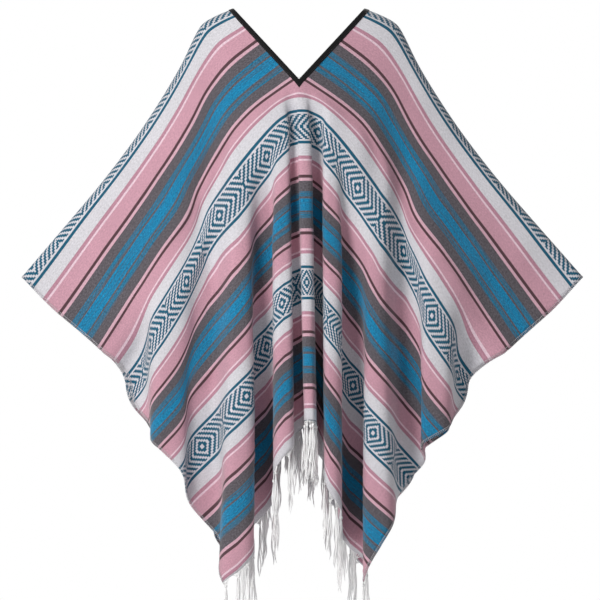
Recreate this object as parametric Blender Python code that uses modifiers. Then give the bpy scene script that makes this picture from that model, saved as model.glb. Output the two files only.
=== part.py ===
"""Serape poncho: one woven cloth folded over the shoulders, slit for the head, with fringed hems.

The cloth is cut as a rectangle. A place on it has two flat measures: the distance across from the
middle thread, and the distance along from the shoulder fold. drape_half() takes those flat measures
to where the hanging cloth lies, so every piece is worked out from the same surface.
Metres, +Z up. The front faces -Y, and the origin lies at shoulder level in the middle of the neck.
"""
import math
import random

import bmesh
import bpy
import numpy as np

# Driving dimensions of the flat cloth
CLOTH_HALF_WIDTH = 0.609
CLOTH_HALF_LENGTH = 0.805
SLIT_HALF_LENGTH = 0.197
FIRST_BAND = 0.281
SECOND_BAND = 0.562
CLOTH_THICKNESS = 0.002

# How the cloth hangs
NECK_HALF_WIDTH = 0.118
NECK_DROP = 0.129
FOLD_RADIUS = 0.021
FOLD_RADIUS_AT_ARM_END = 0.008
FOLD_NARROWS_FROM = 0.40
FOLD_NARROWS_OVER = 0.23
VALLEY_CLEARANCE = 0.018
CENTRE_DEPTH_SPREAD = 0.33
TIGHTEST_PLEAT_ANGLE = 1.92
PLEAT_SQUARENESS = 2.0
FOLDS_FORM_OVER = 0.075
MIDDLE_SWINGS_OVER = 0.10

# Tape round the neck slit
TAPE_WIDTH = 0.008
TAPE_THICKNESS = 0.001
SEAM_GAP = 0.0003
STRIP_GAP = 0.0009
GAP_AT_BENDS = 0.0025
TAPE_GAP = 0.0005
MITRE_REACH = 0.014

# Fringe
STRAND_WIDTH = 0.0048
STRAND_LENGTH = 0.112
STRAND_SWAY = 0.002
STRIP_HEIGHT = 0.005
STRIP_THICKNESS = 0.0013
DENSE_COLUMN_WIDTH = 0.018
STRAND_CLEARANCE = 0.008
RANDOM_SEED = 7

# Stations along the cloth where the tables below hold
STATIONS = (0.0, 0.090, SLIT_HALF_LENGTH, FIRST_BAND, SECOND_BAND, CLOTH_HALF_LENGTH)
FOLD_STATIONS = STATIONS[2:]

# Sine of the slope of a weft thread: a row for each station, a column for each distance from the middle
SLOPE_PLACES = (0.0, 0.045, 0.072, 0.107, 0.161, 0.251, 0.295, 0.358, 0.465, CLOTH_HALF_WIDTH)
SLOPE_SINES = (
    (0.33, 0.52, 0.88, 0.92, 0.88, 0.85, 0.83, 0.81, 0.78, 0.78),
    (0.60, 0.63, 0.70, 0.80, 0.90, 0.85, 0.84, 0.83, 0.81, 0.81),
    (0.55, 0.57, 0.60, 0.68, 0.83, 0.88, 0.95, 0.80, 0.84, 0.84),
    (0.00, 0.50, 0.78, 0.81, 0.80, 0.84, 0.94, 0.89, 0.84, 0.76),
    (0.00, 0.27, 0.38, 0.47, 0.56, 0.63, 0.65, 0.67, 0.68, 0.68),
    (0.00, 0.27, 0.37, 0.44, 0.50, 0.53, 0.54, 0.54, 0.54, 0.54),
)

# Under the slit the middle thread lies level, and the threads beside it level out over a short way
MIDDLE_LEVELS_OVER = 0.040
LEVEL_WIDTH_AT_SLIT = 0.001
LEVEL_WIDTH_BELOW = 0.030
LEVEL_WIDTH_GROWS_OVER = 0.100
LEVEL_WIDTH_STARTS_ABOVE = 0.010

# How far the middle of the cloth stands forward of its sides, by station
CENTRE_DEPTH = (0.0, 0.030, 0.065, 0.085, 0.115, 0.135)

# A soft trough runs down from the end of each shoulder: its place across, its width and its depth
SHOULDER_TROUGH = {-1: -0.163, 1: 0.184}
TROUGH_WIDTH = 0.030
TROUGH_DEPTH = (0.0, 0.004, 0.020, 0.024, 0.012, 0.0)

# Fold lines of each half panel, in millimetres, from the middle out. "start" is how far down the cloth
# the fold begins. "u" is the distance across the flat cloth at the slit's end, first band, second band
# and hem; "x" is where the line hangs, at the slit's end and at the hem. A u past the half width means
# that the line has run off the side edge.
MM = 0.001
FRONT_LEFT = (
    dict(kind="ridge", start=197, u=(0, 0, 0, 0), x=(4, 21)),
    dict(kind="valley", start=197, u=(14, 27, 63, 93), x=(-9, 2)),
    dict(kind="ridge", start=199, u=(34, 66, 125, 185), x=(-29, -25)),
    dict(kind="valley", start=202, u=(75, 118, 269, 385), x=(-61, -60)),
    dict(kind="ridge", start=206, u=(122, 193, 413, 575), x=(-106, -110)),
    dict(kind="valley", start=200, u=(229, 277, 510, 734), x=(-161, -168)),
    dict(kind="ridge", start=202, u=(400, 450, 666, 880), x=(-240, -240)),
    dict(kind="valley", start=197, u=(609, 609, 823, 1040), x=(-312, -246)),
)
FRONT_RIGHT = (
    dict(kind="ridge", start=197, u=(0, 0, 0, 0), x=(4, 21)),
    dict(kind="valley", start=199, u=(32, 50, 97, 158), x=(31, 38)),
    dict(kind="ridge", start=200, u=(63, 97, 195, 317), x=(55, 56)),
    dict(kind="valley", start=203, u=(107, 161, 358, 501), x=(91, 91)),
    dict(kind="ridge", start=207, u=(192, 251, 505, 662), x=(143, 147)),
    dict(kind="valley", start=200, u=(283, 318, 600, 800), x=(188, 202)),
    dict(kind="ridge", start=202, u=(408, 470, 770, 1000), x=(252, 245)),
    dict(kind="valley", start=197, u=(609, 609, 880, 1110), x=(310, 262)),
)
BACK_LEFT = (
    dict(kind="ridge", start=197, u=(0, 0, 0, 0), x=(-4, -14)),
    dict(kind="valley", start=198, u=(24, 38, 80, 126), x=(-24, -30)),
    dict(kind="ridge", start=200, u=(48, 80, 160, 255), x=(-46, -46)),
    dict(kind="valley", start=204, u=(95, 140, 310, 440), x=(-80, -78)),
    dict(kind="ridge", start=207, u=(160, 222, 455, 625), x=(-128, -126)),
    dict(kind="valley", start=201, u=(255, 300, 555, 780), x=(-174, -176)),
    dict(kind="ridge", start=202, u=(404, 460, 715, 940), x=(-246, -242)),
    dict(kind="valley", start=197, u=(609, 609, 850, 1075), x=(-320, -258)),
)
BACK_RIGHT = (
    dict(kind="ridge", start=197, u=(0, 0, 0, 0), x=(-4, -14)),
    dict(kind="valley", start=198, u=(20, 34, 72, 108), x=(14, 6)),
    dict(kind="ridge", start=200, u=(42, 72, 148, 220), x=(38, 33)),
    dict(kind="valley", start=203, u=(86, 128, 295, 412), x=(72, 70)),
    dict(kind="ridge", start=208, u=(150, 210, 440, 610), x=(120, 122)),
    dict(kind="valley", start=200, u=(245, 290, 540, 765), x=(170, 174)),
    dict(kind="ridge", start=202, u=(404, 460, 700, 920), x=(248, 246)),
    dict(kind="valley", start=197, u=(609, 609, 850, 1075), x=(312, 258)),
)

# Side edges: how far out they hang, by station from the fold to the first band
SIDE_STATIONS = (0.0, SLIT_HALF_LENGTH, FIRST_BAND)
SIDE_X = {
    ("front", -1): (-0.498, -0.353, -0.310),
    ("front", 1): (0.510, 0.371, 0.326),
    ("back", -1): (-0.498, -0.357, -0.318),
    ("back", 1): (0.510, 0.376, 0.334),
}
FOLD_LINES = {
    ("front", -1): FRONT_LEFT,
    ("front", 1): FRONT_RIGHT,
    ("back", -1): BACK_LEFT,
    ("back", 1): BACK_RIGHT,
}
BACK_HEM_RISE = 0.016

# Where the mesh has its rows and columns on the flat cloth, in millimetres
COLUMNS_MM = (0, 9, 18, 27, 37, 48, 60, 73, 88, 104, 121, 139, 158, 179, 201, 224, 248, 273, 299, 325,
              351, 377, 403, 429, 455, 481, 507, 533, 559, 584, 609)
ROWS_MM = (0, 11, 22, 34, 72, 125, 175, 197, 211, 235, 281, 330, 380, 430, 475, 520, 562, 608, 655,
           704, 754, 805)

# Colours, roughness
CLOTH_COLOUR = (0.47, 0.30, 0.36, 1.0)
TAPE_COLOUR = (0.012, 0.012, 0.014, 1.0)
FRINGE_COLOUR = (0.74, 0.74, 0.72, 1.0)


def start_empty():
    for item in list(bpy.data.objects):
        bpy.data.objects.remove(item, do_unlink=True)


def smooth_table(at, stations, values):
    """A smooth curve through a table's values, level past both ends."""
    at = np.clip(np.asarray(at, float), stations[0], stations[-1])
    stations = np.asarray(stations, float)
    values = np.asarray(values, float)
    chord = np.diff(values) / np.diff(stations)
    slope = np.zeros(len(values))
    slope[0] = chord[0]
    slope[-1] = chord[-1]
    for i in range(1, len(values) - 1):
        same_way = chord[i - 1] * chord[i] > 0.0
        slope[i] = 2.0 * chord[i - 1] * chord[i] / (chord[i - 1] + chord[i]) if same_way else 0.0
    i = np.clip(np.searchsorted(stations, at, side="right") - 1, 0, len(stations) - 2)
    span = stations[i + 1] - stations[i]
    t = (at - stations[i]) / span
    return ((1 + 2 * t) * (1 - t) ** 2 * values[i] + t * (1 - t) ** 2 * span * slope[i]
            + t * t * (3 - 2 * t) * values[i + 1] + t * t * (t - 1) * span * slope[i + 1])


def ease(t):
    t = np.clip(t, 0.0, 1.0)
    return t * t * (3.0 - 2.0 * t)


def slope_sine(u, v):
    """Sine of the slope of the weft thread that lies v from the fold, u out from the middle."""
    sines = [smooth_table(v, STATIONS, column) for column in zip(*SLOPE_SINES)]
    below = v - SLIT_HALF_LENGTH
    if 0.0 <= below < FIRST_BAND - SLIT_HALF_LENGTH:
        sines[0] = sines[0] * (1.0 - ease(below / MIDDLE_LEVELS_OVER))
    sine = smooth_table(u, SLOPE_PLACES, sines)
    if below < 0.0:
        return sine
    grown = ease((below + LEVEL_WIDTH_STARTS_ABOVE) / LEVEL_WIDTH_GROWS_OVER)
    return sine * (1.0 - np.exp(-u / (LEVEL_WIDTH_AT_SLIT + LEVEL_WIDTH_BELOW * grown)))


def weft_profile(v, reach=1.25, step=0.002):
    """Fall and run of a weft thread, summed from the middle out: distances, falls, runs."""
    u = np.arange(0.0, reach, step)
    sine = slope_sine(u + step / 2, v)
    fall = np.concatenate(([0.0], np.cumsum(sine * step)))[:-1]
    run = np.concatenate(([0.0], np.cumsum(np.sqrt(1 - sine ** 2) * step)))[:-1]
    return u, fall, run


def middle_drop(v):
    """How far below the origin the slit's edge, or the middle thread under it, lies."""
    if v < SLIT_HALF_LENGTH:
        return NECK_DROP * v / SLIT_HALF_LENGTH
    return NECK_DROP + v - SLIT_HALF_LENGTH


def middle_x(v, face, side):
    """How far to the side the slit's edge, or the middle fold under it, lies."""
    if v < SLIT_HALF_LENGTH:
        return side * NECK_HALF_WIDTH * (1.0 - v / SLIT_HALF_LENGTH)
    first, last = FOLD_LINES[face, side][0]["x"]
    below = v - SLIT_HALF_LENGTH
    share = below / (CLOTH_HALF_LENGTH - SLIT_HALF_LENGTH)
    return MM * (first + (last - first) * share) * ease(below / MIDDLE_SWINGS_OVER)


def smooth_x(u, v, face, side):
    """Where the cloth would hang with no folds in it."""
    grid, _, run = weft_profile(v)
    edge = middle_x(v, face, side)
    outer = smooth_table(v, SIDE_STATIONS, SIDE_X[face, side])
    share = np.interp(u, grid, run) / np.interp(CLOTH_HALF_WIDTH, grid, run)
    return edge + (outer - edge) * share


def fold_radius(u):
    narrowed = ease((u - FOLD_NARROWS_FROM) / FOLD_NARROWS_OVER)
    return FOLD_RADIUS + (FOLD_RADIUS_AT_ARM_END - FOLD_RADIUS) * narrowed


def front_depth(x, u, v):
    """How far in front of the shoulder line the crests of the folds lie."""
    radius = fold_radius(u)
    rolled = radius * np.sin(np.minimum(v / radius, math.pi / 2))
    taper = 1.0 / (1.0 + (np.abs(x) / CENTRE_DEPTH_SPREAD) ** 4)
    trough = sum(np.exp(-((x - at) / TROUGH_WIDTH) ** 2) for at in SHOULDER_TROUGH.values())
    standing = smooth_table(v, STATIONS, CENTRE_DEPTH) * taper
    return rolled + standing - smooth_table(v, STATIONS, TROUGH_DEPTH) * trough


def meander(ratio):
    """One half wave of cloth whose ends are ratio of its length apart: shares of x, of y, and depth."""
    t = np.linspace(0.0, 1.0, 65)
    middle = (t[1:] + t[:-1]) / 2
    bend = np.sin(math.pi * middle) ** PLEAT_SQUARENESS
    low, high = 0.02, TIGHTEST_PLEAT_ANGLE
    for _ in range(30):
        angle = (low + high) / 2
        if np.mean(np.cos(angle * bend)) > ratio:
            low = angle
        else:
            high = angle
    turn = low * bend
    along = np.concatenate(([0.0], np.cumsum(np.cos(turn))))
    across = np.concatenate(([0.0], np.cumsum(np.sin(turn))))
    return t, along / along[-1], across / across[-1], float(np.mean(np.sin(turn)))


def fold_share(line, v):
    """How far a fold has formed, from 0 where it starts to 1 where it hangs free."""
    return float(ease((v - MM * line["start"]) / FOLDS_FORM_OVER))


def fold_line_x(line, u, v, face, side):
    """Where a fold line hangs: it leaves the smooth cloth at the slit's end and drops straight down."""
    if line["u"][3] == 0:
        return middle_x(v, face, side)
    first, last = line["x"]
    share = (v - SLIT_HALF_LENGTH) / (CLOTH_HALF_LENGTH - SLIT_HALF_LENGTH)
    hung = MM * (first + (last - first) * max(share, 0.0))
    hanging = fold_share(line, v)
    if hanging == 1.0:
        return hung
    free = float(smooth_x(min(u, CLOTH_HALF_WIDTH), v, face, side))
    return free + (hung - free) * hanging


def pleated_row(u_wanted, v, face, side):
    """Points of one weft thread below the slit, gathered between its fold lines."""
    grid, fall, run = weft_profile(v)
    lines = FOLD_LINES[face, side]
    line_u = [float(smooth_table(v, FOLD_STATIONS, np.array(line["u"]) * MM)) for line in lines]
    line_x = [fold_line_x(line, u, v, face, side) for line, u in zip(lines, line_u)]
    length = np.diff(np.interp(line_u, grid, run))
    chord = np.abs(np.diff(line_x))
    waves = [meander(min(c / l, 0.999)) for c, l in zip(chord, length)]
    natural = [l * wave[3] if c < l else 0.0 for c, l, wave in zip(chord, length, waves)]
    line_y = []
    for i, line in enumerate(lines):
        crest = float(front_depth(line_x[i], line_u[i], v))
        if line["kind"] == "ridge":
            line_y.append(crest)
            continue
        beside = natural[i - 1:i + 1]
        depth = fold_share(line, v) * sum(beside) / len(beside)
        line_y.append(crest - min(depth, crest - VALLEY_CLEARANCE))
    x = np.zeros(len(u_wanted))
    y = np.zeros(len(u_wanted))
    for i, wave in enumerate(waves):
        inside = (u_wanted >= line_u[i] - 1e-9) & (u_wanted <= line_u[i + 1] + 1e-9)
        start = np.interp(line_u[i], grid, run)
        t = (np.interp(u_wanted[inside], grid, run) - start) / length[i]
        x[inside] = line_x[i] + (line_x[i + 1] - line_x[i]) * np.interp(t, wave[0], wave[1])
        y[inside] = line_y[i] + (line_y[i + 1] - line_y[i]) * np.interp(t, wave[0], wave[2])
    return x, y, middle_drop(v) + np.interp(u_wanted, grid, fall)


def yoke_row(u_wanted, v, face, side):
    """Points of one weft thread beside the slit, where the cloth lies smooth over the shoulder."""
    x = np.zeros(len(u_wanted))
    drop = np.zeros(len(u_wanted))
    for i, u in enumerate(u_wanted):
        radius = float(fold_radius(u))
        quarter = radius * math.pi / 2
        if v < quarter:
            rolled = radius * (1.0 - math.cos(v / radius))
        else:
            rolled = v - (quarter - radius) * (SLIT_HALF_LENGTH - v) / (SLIT_HALF_LENGTH - quarter)
        grid, fall, _ = weft_profile(rolled)
        x[i] = smooth_x(u, rolled, face, side)
        drop[i] = middle_drop(rolled) + np.interp(u, grid, fall)
    return x, front_depth(x, u_wanted, v), drop


def drape_half(u_wanted, v, face, side):
    """Where one weft thread of a half panel hangs: an array of points, middle to side edge."""
    u_wanted = np.asarray(u_wanted, float)
    row = yoke_row if v < SLIT_HALF_LENGTH else pleated_row
    x, y, drop = row(u_wanted, v, face, side)
    if face == "back":
        share = (v - SLIT_HALF_LENGTH) / (CLOTH_HALF_LENGTH - SLIT_HALF_LENGTH)
        drop = drop - BACK_HEM_RISE * float(ease(share))
        y = -y
    return np.stack([x, -y, -drop], axis=1)


def place(u, v, face, side):
    return drape_half([u], v, face, side)[0]


def material(name, colour, roughness):
    made = bpy.data.materials.new(name)
    made.use_nodes = True
    shader = made.node_tree.nodes["Principled BSDF"]
    shader.inputs["Base Color"].default_value = colour
    shader.inputs["Roughness"].default_value = roughness
    shader.inputs["Metallic"].default_value = 0.0
    made.diffuse_color = colour
    return made


def add_object(name, mesh, collection, finish):
    thing = bpy.data.objects.new(name, mesh)
    mesh.materials.append(finish)
    mesh.shade_smooth()
    mesh.set_sharp_from_angle(angle=math.radians(60))
    collection.objects.link(thing)
    return thing


def split_along_folds(bm, last_column, last_row, slit_row):
    """Halve each flat cell by the diagonal that leads outwards and down, as the folds do.

    The cells just under the slit's ends are halved the other way, as the tape's mitre lies.
    """
    for face in list(bm.faces):
        middle = face.calc_center_median()
        under_slit = abs(middle.x) * last_column < 1.0 and int(abs(middle.y) * last_row) == slit_row
        across = -1.0 if under_slit else 1.0
        reach = {}
        for vert in face.verts:
            reach[vert] = across * abs(vert.co.x) * last_column + abs(vert.co.y) * last_row
        bmesh.utils.face_split(face, min(reach, key=reach.get), max(reach, key=reach.get))


def build_cloth(collection):
    """A flat grid, slit along its middle, with each point then taken to where it hangs."""
    columns = np.array(COLUMNS_MM) * MM
    rows = np.array(ROWS_MM) * MM
    last_column = len(columns) - 1
    last_row = len(rows) - 1
    bm = bmesh.new()
    bmesh.ops.create_grid(bm, x_segments=2 * last_column, y_segments=2 * last_row, size=1.0)
    place_of = {}
    for vert in bm.verts:
        column = round(vert.co.x * last_column)
        row = round(vert.co.y * last_row)
        place_of[vert] = (column, row)
    slit_row = ROWS_MM.index(round(SLIT_HALF_LENGTH / MM))
    slit = []
    for edge in bm.edges:
        (column_a, row_a), (column_b, row_b) = (place_of[vert] for vert in edge.verts)
        if column_a == 0 and column_b == 0 and max(abs(row_a), abs(row_b)) <= slit_row:
            slit.append(edge)
    bmesh.ops.split_edges(bm, edges=slit)
    points = {}
    for face in ("front", "back"):
        for side in (-1, 1):
            for row, v in enumerate(rows):
                points[face, side, row] = drape_half(columns, v, face, side)
    for vert in bm.verts:
        column = round(vert.co.x * last_column)
        row = round(vert.co.y * last_row)
        middle = sum(face.calc_center_median().x for face in vert.link_faces) / len(vert.link_faces)
        side = 1 if (column > 0 or (column == 0 and middle > 0)) else -1
        face = "front" if row <= 0 else "back"
        place_of[vert] = points[face, side, abs(row)][abs(column)]
    split_along_folds(bm, last_column, last_row, slit_row)
    for vert in bm.verts:
        vert.co = place_of[vert]
    bmesh.ops.recalc_face_normals(bm, faces=bm.faces)
    mesh = bpy.data.meshes.new("serape_cloth")
    bm.to_mesh(mesh)
    bm.free()
    cloth = add_object("serape_cloth", mesh, collection, material("woven_cloth", CLOTH_COLOUR, 0.9))
    wall = cloth.modifiers.new("wall", "SOLIDIFY")
    wall.thickness = CLOTH_THICKNESS
    wall.offset = 0.0
    return cloth


def unit(vector):
    return vector / np.linalg.norm(vector)


def tape_stations():
    """Slit edge points, the points a tape's width into the cloth, and which turn about a slit end."""
    rows = [v * MM for v in ROWS_MM if v * MM < SLIT_HALF_LENGTH - 1e-6]
    ends = [SLIT_HALF_LENGTH, SLIT_HALF_LENGTH + MITRE_REACH, SLIT_HALF_LENGTH]
    stations = []
    for side, order in ((-1, (("back", -1), ("front", 1))), (1, (("front", -1), ("back", 1)))):
        for face, direction in order:
            for v in rows[::direction]:
                if v == 0.0 and direction == 1:
                    continue
                pair = drape_half([0.0, TAPE_WIDTH], v, face, side)
                stations.append((pair[0], pair[1], False))
            if direction == 1:
                tip = place(0.0, ends[0], face, side)
                stations.append((tip, place(TAPE_WIDTH, ends[0], face, side), True))
                stations.append((tip, place(0.0, ends[1], face, side), True))
                stations.append((tip, place(TAPE_WIDTH, ends[2], face, -side), True))
    return stations


def tape_section(bm, edge, inside, tangent):
    """The channel's eight corners: the four at the width, and the four at the slit's edge."""
    inner = CLOTH_THICKNESS / 2 + TAPE_GAP
    outer = inner + TAPE_THICKNESS
    into = inside - edge
    width = np.linalg.norm(into)
    into = into / width
    normal = unit(np.cross(tangent, into))
    wrap = -(SEAM_GAP + TAPE_THICKNESS)
    outline = ((width, outer), (wrap, outer), (wrap, -outer), (width, -outer),
               (width, -inner), (-SEAM_GAP, -inner), (-SEAM_GAP, inner), (width, inner))
    return [bm.verts.new(edge + into * a + normal * b) for a, b in outline]


def build_binding(collection):
    """A tape folded over the slit's raw edge: a channel section carried once round the opening."""
    stations = tape_stations()
    count = len(stations)
    edge_side = (1, 2, 5, 6)
    bm = bmesh.new()
    sections = []
    for i, (edge, inside, _) in enumerate(stations):
        before = next(stations[j % count][0] for j in range(i - 1, i - 5, -1)
                      if np.linalg.norm(stations[j % count][0] - edge) > 1e-6)
        after = next(stations[j % count][0] for j in range(i + 1, i + 5)
                     if np.linalg.norm(stations[j % count][0] - edge) > 1e-6)
        sections.append(tape_section(bm, edge, inside, unit(after - before)))
    for i, (_, _, turning) in enumerate(stations):
        middle = turning and stations[i - 1][2] and stations[(i + 1) % count][2]
        if middle:
            for j in (i - 1, (i + 1) % count):
                for k in edge_side:
                    bm.verts.remove(sections[j][k])
                    sections[j][k] = sections[i][k]
    for i in range(count):
        here, there = sections[i], sections[(i + 1) % count]
        for j in range(8):
            k = (j + 1) % 8
            corners = list(dict.fromkeys((here[j], here[k], there[k], there[j])))
            if len(corners) > 2:
                bm.faces.new(corners)
    bmesh.ops.recalc_face_normals(bm, faces=bm.faces)
    mesh = bpy.data.meshes.new("neck_binding")
    bm.to_mesh(mesh)
    bm.free()
    return add_object("neck_binding", mesh, collection, material("black_tape", TAPE_COLOUR, 0.7))


def hem_frames(face, side):
    """Along half a hem, at each column: the edge point, the ways down and out, and the strip's gap."""
    columns = np.array(COLUMNS_MM) * MM
    edge = drape_half(columns, CLOTH_HALF_LENGTH, face, side)
    above = drape_half(columns, CLOTH_HALF_LENGTH - 0.004, face, side)
    along = side * np.gradient(edge, axis=0)
    frames = []
    for i in range(len(columns)):
        down = unit(edge[i] - above[i])
        normal = unit(np.cross(down, along[i]))
        bend = 0.0
        if 0 < i < len(columns) - 1:
            bend = 1.0 - float(np.dot(unit(edge[i] - edge[i - 1]), unit(edge[i + 1] - edge[i])))
        gap = STRIP_GAP + GAP_AT_BENDS * bend
        frames.append((edge[i], down, normal if face == "front" else -normal, gap))
    return frames


def strip_section(frame):
    here, down, normal, gap = frame
    top = here + down * gap
    low = here + down * (gap + STRIP_HEIGHT)
    half = STRIP_THICKNESS / 2
    return (top + normal * half, low + normal * half, low - normal * half, top - normal * half)


def hangs_free(root, own, hem):
    """Whether a strand can hang straight down from its root past the lower folds of the hem."""
    for key, (start, end) in hem.items():
        if key == own or min(start[2], end[2]) > root[2] - 0.001:
            continue
        along = (end - start)[:2]
        t = np.clip(np.dot(root[:2] - start[:2], along) / np.dot(along, along), 0.0, 1.0)
        if np.linalg.norm(start[:2] + along * t - root[:2]) < STRAND_CLEARANCE:
            return False
    return True


def hem_sections(face):
    """Sections of the strip from the left corner to the right one, and those where a strand starts."""
    widths = np.diff(COLUMNS_MM) * MM
    frames = {side: hem_frames(face, side) for side in (-1, 1)}
    hem = {(side, i): (frames[side][i][0], frames[side][i + 1][0])
           for side in (-1, 1) for i in range(len(widths))}
    halves = {}
    for side in (-1, 1):
        corners = [np.array(strip_section(frame)) for frame in frames[side]]
        placed = [(corners[0], False)]
        for i in range(1, len(corners)):
            rooted = i < len(widths) and (i % 2 == 1 or widths[i] > DENSE_COLUMN_WIDTH)
            if rooted:
                start, end = hem[side, i]
                root = start + (end - start) * STRAND_WIDTH / widths[i] / 2
                rooted = hangs_free(root, (side, i), hem)
            placed.append((corners[i], rooted))
            if rooted:
                share = STRAND_WIDTH / widths[i]
                placed.append((corners[i] + (corners[i + 1] - corners[i]) * share, False))
        halves[side] = placed
    left = [corners for corners, _ in halves[-1]][::-1]
    left_roots = {len(left) - 2 - i for i, (_, rooted) in enumerate(halves[-1]) if rooted}
    right = [corners for corners, _ in halves[1]][1:]
    right_roots = {len(left) - 1 + i for i, (_, rooted) in enumerate(halves[1]) if rooted}
    return left + right, left_roots | right_roots


def build_fringe(face, collection, finish):
    """A narrow strip just under the hem, with the knotted warp ends hanging from it."""
    pick = random.Random(RANDOM_SEED if face == "front" else RANDOM_SEED + 1)
    corner_sets, starts = hem_sections(face)
    bm = bmesh.new()
    sections = [[bm.verts.new(point) for point in corners] for corners in corner_sets]
    for i in range(len(sections) - 1):
        here, there = sections[i], sections[i + 1]
        for j in range(4):
            k = (j + 1) % 4
            if not (i in starts and j == 1):
                bm.faces.new((here[j], here[k], there[k], there[j]))
    bm.faces.new(sections[0])
    bm.faces.new(sections[-1])
    for i in sorted(starts):
        root = [sections[i][1], sections[i + 1][1], sections[i + 1][2], sections[i][2]]
        centre = sum(np.array(vert.co) for vert in root) / 4
        length = STRAND_LENGTH * pick.uniform(0.86, 1.0)
        sway = [pick.uniform(-STRAND_SWAY, STRAND_SWAY) for _ in range(2)]
        sway = np.array(sway + [0.0])
        ring = root
        for fraction, scale in ((0.5, 0.95), (1.0, 0.6)):
            moved = centre + sway * fraction - np.array([0.0, 0.0, length * fraction])
            lower = []
            for vert in root:
                spread = np.array(vert.co) - centre
                spread[2] = 0.0
                lower.append(bm.verts.new(moved + spread * scale))
            for j in range(4):
                k = (j + 1) % 4
                bm.faces.new((ring[j], ring[k], lower[k], lower[j]))
            ring = lower
        bm.faces.new(ring)
    bmesh.ops.recalc_face_normals(bm, faces=bm.faces)
    mesh = bpy.data.meshes.new("fringe_" + face)
    bm.to_mesh(mesh)
    bm.free()
    return add_object("fringe_" + face, mesh, collection, finish)


def main():
    start_empty()
    collection = bpy.data.collections.new("serape_poncho")
    bpy.context.scene.collection.children.link(collection)
    build_cloth(collection)
    build_binding(collection)
    fringe_finish = material("fringe_yarn", FRINGE_COLOUR, 0.9)
    for face in ("front", "back"):
        build_fringe(face, collection, fringe_finish)


main()
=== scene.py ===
"""Looks of the serape poncho: woven stripes and diamonds, bound neck, overlocked sides, knotted fringe.

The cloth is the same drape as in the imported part, worked out on a finer grid and carried on to the
bound neck, the overlock thread and the fringe. Metres, +Z up, the front faces -Y.
"""

import math
import random

import bmesh
import bpy
import numpy as np
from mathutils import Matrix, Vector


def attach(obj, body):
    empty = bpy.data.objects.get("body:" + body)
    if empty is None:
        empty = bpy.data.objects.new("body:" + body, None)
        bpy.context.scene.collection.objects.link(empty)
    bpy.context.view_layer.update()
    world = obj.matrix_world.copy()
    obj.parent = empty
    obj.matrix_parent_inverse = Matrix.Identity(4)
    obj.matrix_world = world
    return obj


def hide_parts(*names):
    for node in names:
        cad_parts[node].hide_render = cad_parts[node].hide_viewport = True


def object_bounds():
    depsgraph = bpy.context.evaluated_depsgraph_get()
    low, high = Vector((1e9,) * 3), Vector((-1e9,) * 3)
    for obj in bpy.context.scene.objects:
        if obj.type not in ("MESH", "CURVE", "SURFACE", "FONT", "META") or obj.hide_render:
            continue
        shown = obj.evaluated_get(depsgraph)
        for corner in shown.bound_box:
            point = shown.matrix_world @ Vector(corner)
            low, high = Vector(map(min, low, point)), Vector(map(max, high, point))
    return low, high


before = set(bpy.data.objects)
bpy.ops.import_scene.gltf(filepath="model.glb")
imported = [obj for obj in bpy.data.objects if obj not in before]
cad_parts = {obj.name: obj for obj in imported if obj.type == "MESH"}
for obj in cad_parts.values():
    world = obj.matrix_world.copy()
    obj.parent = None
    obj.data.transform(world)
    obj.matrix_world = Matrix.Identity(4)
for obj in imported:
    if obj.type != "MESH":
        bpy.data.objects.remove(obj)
cad_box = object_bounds()

# The photograph's scale and the camera
PHOTO_PIXELS = 600
METRES_PER_PIXEL = 0.00179
ORIGIN_PIXEL = (299, 8)
CAMERA_DISTANCE = 15.0
PICTURE_PLANE_Y = -0.08
SENSOR_MM = 36.0
CLIP_END = 100.0

# Driving dimensions of the flat cloth
CLOTH_HALF_WIDTH = 0.609
CLOTH_HALF_LENGTH = 0.805
SLIT_HALF_LENGTH = 0.197
FIRST_BAND = 0.281
SECOND_BAND = 0.562
CLOTH_THICKNESS = 0.002

# How the cloth hangs
NECK_HALF_WIDTH = 0.118
NECK_DROP = 0.129
FOLD_RADIUS = 0.021
FOLD_RADIUS_AT_ARM_END = 0.008
FOLD_NARROWS_FROM = 0.40
FOLD_NARROWS_OVER = 0.23
VALLEY_CLEARANCE = 0.018
CENTRE_DEPTH_SPREAD = 0.33
TIGHTEST_PLEAT_ANGLE = 1.92
PLEAT_SQUARENESS = 2.0
STRAIGHTEST_PLEAT_ANGLE = 0.02
STRAIGHTEST_PLEAT_RATIO = 0.999
PLEAT_STEPS = 64
ANGLE_HALVINGS = 30
FOLDS_FORM_OVER = 0.075
MIDDLE_SWINGS_OVER = 0.10

# A weft thread's profile is summed this far out, past the side edge, in steps this long
PROFILE_REACH = 1.25
PROFILE_STEP = 0.002

# Tape round the neck slit
TAPE_WIDTH = 0.008
TAPE_THICKNESS = 0.001
SEAM_GAP = 0.0003
MITRE_REACH = 0.014

# The finer grid of the scene's cloth: columns crowd towards the middle, rows towards the shoulder fold
COLUMNS = 102
COLUMN_EVENNESS = 0.6
FOLD_ROWS = 11
FOLD_ROWS_REACH = 0.036
FOLD_ROWS_CROWDING = 1.3
YOKE_ROWS = 23
PANEL_ROWS = 84

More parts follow.
